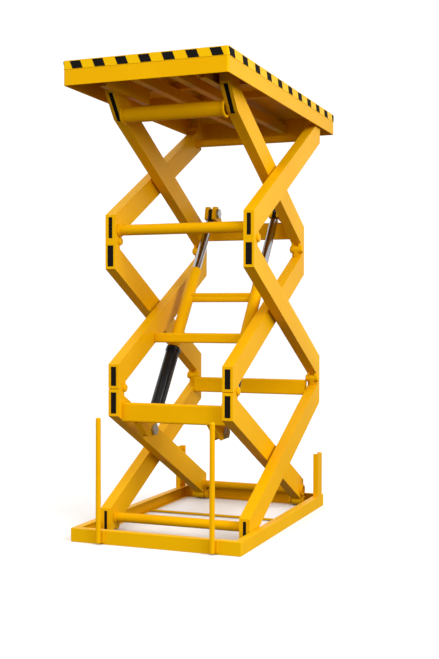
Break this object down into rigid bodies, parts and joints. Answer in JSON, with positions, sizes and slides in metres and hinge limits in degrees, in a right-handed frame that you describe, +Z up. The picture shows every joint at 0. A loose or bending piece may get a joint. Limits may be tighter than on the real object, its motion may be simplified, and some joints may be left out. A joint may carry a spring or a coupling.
{
  "type": "scissor lift table",
  "caption": "Hydraulic scissor lift table: a flat platform raised on stacked crossed arms by telescopic cylinders, on a low channel base frame with rollers and rest posts.",
  "frame": {"origin": "on the floor, under the middle of the platform, halfway between its left and right sides", "axes": "+Z up, +Y towards the rear end that has the fixed pivots, +X towards the right-hand side"},
  "size_m": [1.052, 2.1416, 2.75],
  "materials": {
    "yellow_paint": "semi-gloss sprayed enamel",
    "light_yellow_paint": "semi-gloss sprayed enamel",
    "black_paint": "gloss sprayed enamel",
    "black_plastic": "matt moulded",
    "hard_chrome": "polished hard chrome",
    "zinc_steel": "zinc plated",
    "roller_steel": "machined"
  },
  "bodies": {
    "base": {"base_rail_front": "yellow_paint", "base_rail_rear": "yellow_paint", "base_rail_left": "yellow_paint", "base_rail_right": "yellow_paint", "base_tie_rod": "yellow_paint", "rest_posts": "yellow_paint", "rear_uprights": "yellow_paint", "rear_pivot_brackets": "yellow_paint", "rear_pivot_pins": "yellow_paint"},
    "outer_frame_1": {"outer1_arm_left": "yellow_paint", "outer1_arm_right": "yellow_paint", "outer1_end_plugs": "black_plastic", "outer1_front_tube": "yellow_paint", "outer1_rear_beam": "yellow_paint", "outer1_pins": "yellow_paint"},
    "inner_frame_1": {"inner1_arm_left": "yellow_paint", "inner1_arm_right": "yellow_paint", "inner1_end_plugs": "black_plastic", "inner1_rear_tube": "yellow_paint", "inner1_front_beam": "yellow_paint", "inner1_clevis_bolts": "zinc_steel"},
    "outer_frame_2": {"outer2_arm_left": "yellow_paint", "outer2_arm_right": "yellow_paint", "outer2_end_plugs": "black_plastic", "outer2_pins": "yellow_paint"},
    "inner_frame_2": {"inner2_arm_left": "yellow_paint", "inner2_arm_right": "yellow_paint", "inner2_end_plugs": "black_plastic", "inner2_cross_rung": "yellow_paint", "inner2_joint_pins": "yellow_paint"},
    "outer_frame_3": {"outer3_arm_left": "yellow_paint", "outer3_arm_right": "yellow_paint", "outer3_end_plugs": "black_plastic", "outer3_front_tube": "yellow_paint", "outer3_rear_tube": "yellow_paint", "outer3_pins": "yellow_paint"},
    "inner_frame_3": {"inner3_arm_left": "yellow_paint", "inner3_arm_right": "yellow_paint", "inner3_end_plugs": "black_plastic", "inner3_front_tube": "yellow_paint", "inner3_rear_beam": "yellow_paint", "inner3_clevis_bolts": "zinc_steel", "inner3_pins": "yellow_paint"},
    "platform": {"platform_deck": "yellow_paint", "platform_skirt": "yellow_paint", "platform_edge_band": "light_yellow_paint", "platform_hazard_marks": "black_paint", "platform_ribs": "yellow_paint", "platform_tracks": "yellow_paint", "platform_pivot_brackets": "yellow_paint", "platform_pivot_pins": "yellow_paint"},
    "base_wheel_left": {"base_roller_left": "roller_steel"},
    "base_wheel_right": {"base_roller_right": "roller_steel"},
    "platform_wheel_left": {"platform_roller_left": "roller_steel"},
    "platform_wheel_right": {"platform_roller_right": "roller_steel"},
    "middle_stage": {"cylinder_sleeves": "yellow_paint", "cylinder_tie_rung": "yellow_paint"},
    "barrels": {"cylinder_barrels": "black_paint"},
    "rods": {"cylinder_rods": "hard_chrome", "cylinder_rod_eyes": "black_paint"}
  },
  "joints": [
    {"name": "lift", "type": "hinge", "parent": "base", "child": "inner_frame_1", "pos_m": [0, 0.65, 0.036], "axis": [1, 0, 0], "range_deg": [0, 22]},
    {"name": "centre_pivot_1", "type": "hinge", "parent": "inner_frame_1", "child": "outer_frame_1", "pos_m": [0, 0.045, 0.418], "axis": [1, 0, 0], "range_deg": [-44, 0]},
    {"name": "lower_front_joint", "type": "hinge", "parent": "inner_frame_1", "child": "inner_frame_2", "pos_m": [0, -0.635, 0.8795], "axis": [1, 0, 0], "range_deg": [-44, 0]},
    {"name": "centre_pivot_2", "type": "hinge", "parent": "inner_frame_2", "child": "outer_frame_2", "pos_m": [0, 0.045, 1.341], "axis": [1, 0, 0], "range_deg": [0, 44]},
    {"name": "upper_rear_joint", "type": "hinge", "parent": "inner_frame_2", "child": "inner_frame_3", "pos_m": [0, 0.62, 1.7655], "axis": [1, 0, 0], "range_deg": [0, 44]},
    {"name": "centre_pivot_3", "type": "hinge", "parent": "inner_frame_3", "child": "outer_frame_3", "pos_m": [0, 0.045, 2.19], "axis": [1, 0, 0], "range_deg": [-44, 0]},
    {"name": "platform_rear_pivot", "type": "hinge", "parent": "outer_frame_3", "child": "platform", "pos_m": [0, 0.735, 2.65], "axis": [1, 0, 0], "range_deg": [0, 22]},
    {"name": "cylinder_swing", "type": "hinge", "parent": "outer_frame_2", "child": "middle_stage", "pos_m": [0, 0.09702, 1.33973], "axis": [1, 0, 0], "range_deg": [-40.54, 0]},
    {"name": "barrel_slide", "type": "slide", "parent": "middle_stage", "child": "barrels", "axis": [0, 0.5888, 0.8083], "range_m": [0, 0.2095]},
    {"name": "rod_slide", "type": "slide", "parent": "middle_stage", "child": "rods", "axis": [0, 0.5888, 0.8083], "range_m": [-0.2058, 0]},
    {"name": "base_roller_left_spin", "type": "hinge", "parent": "outer_frame_1", "child": "base_wheel_left", "pos_m": [-0.503, -0.56, 0.036], "axis": [1, 0, 0], "continuous": true},
    {"name": "platform_roller_left_spin", "type": "hinge", "parent": "inner_frame_3", "child": "platform_wheel_left", "pos_m": [-0.305, -0.645, 2.65], "axis": [1, 0, 0], "continuous": true},
    {"name": "base_roller_right_spin", "type": "hinge", "parent": "outer_frame_1", "child": "base_wheel_right", "pos_m": [0.503, -0.56, 0.036], "axis": [1, 0, 0], "continuous": true},
    {"name": "platform_roller_right_spin", "type": "hinge", "parent": "inner_frame_3", "child": "platform_wheel_right", "pos_m": [0.305, -0.645, 2.65], "axis": [1, 0, 0], "continuous": true}
  ],
  "couplings": [
    {"joint": "centre_pivot_1", "follows": "lift", "ratio": -2},
    {"joint": "lower_front_joint", "follows": "lift", "ratio": -2},
    {"joint": "centre_pivot_2", "follows": "lift", "ratio": 2},
    {"joint": "upper_rear_joint", "follows": "lift", "ratio": 2},
    {"joint": "centre_pivot_3", "follows": "lift", "ratio": -2},
    {"joint": "platform_rear_pivot", "follows": "lift", "ratio": 1},
    {"joint": "cylinder_swing", "follows": "lift", "ratio": -1.842},
    {"joint": "barrel_slide", "follows": "lift", "m_per_rad": 0.545},
    {"joint": "rod_slide", "follows": "lift", "m_per_rad": -0.53537}
  ]
}
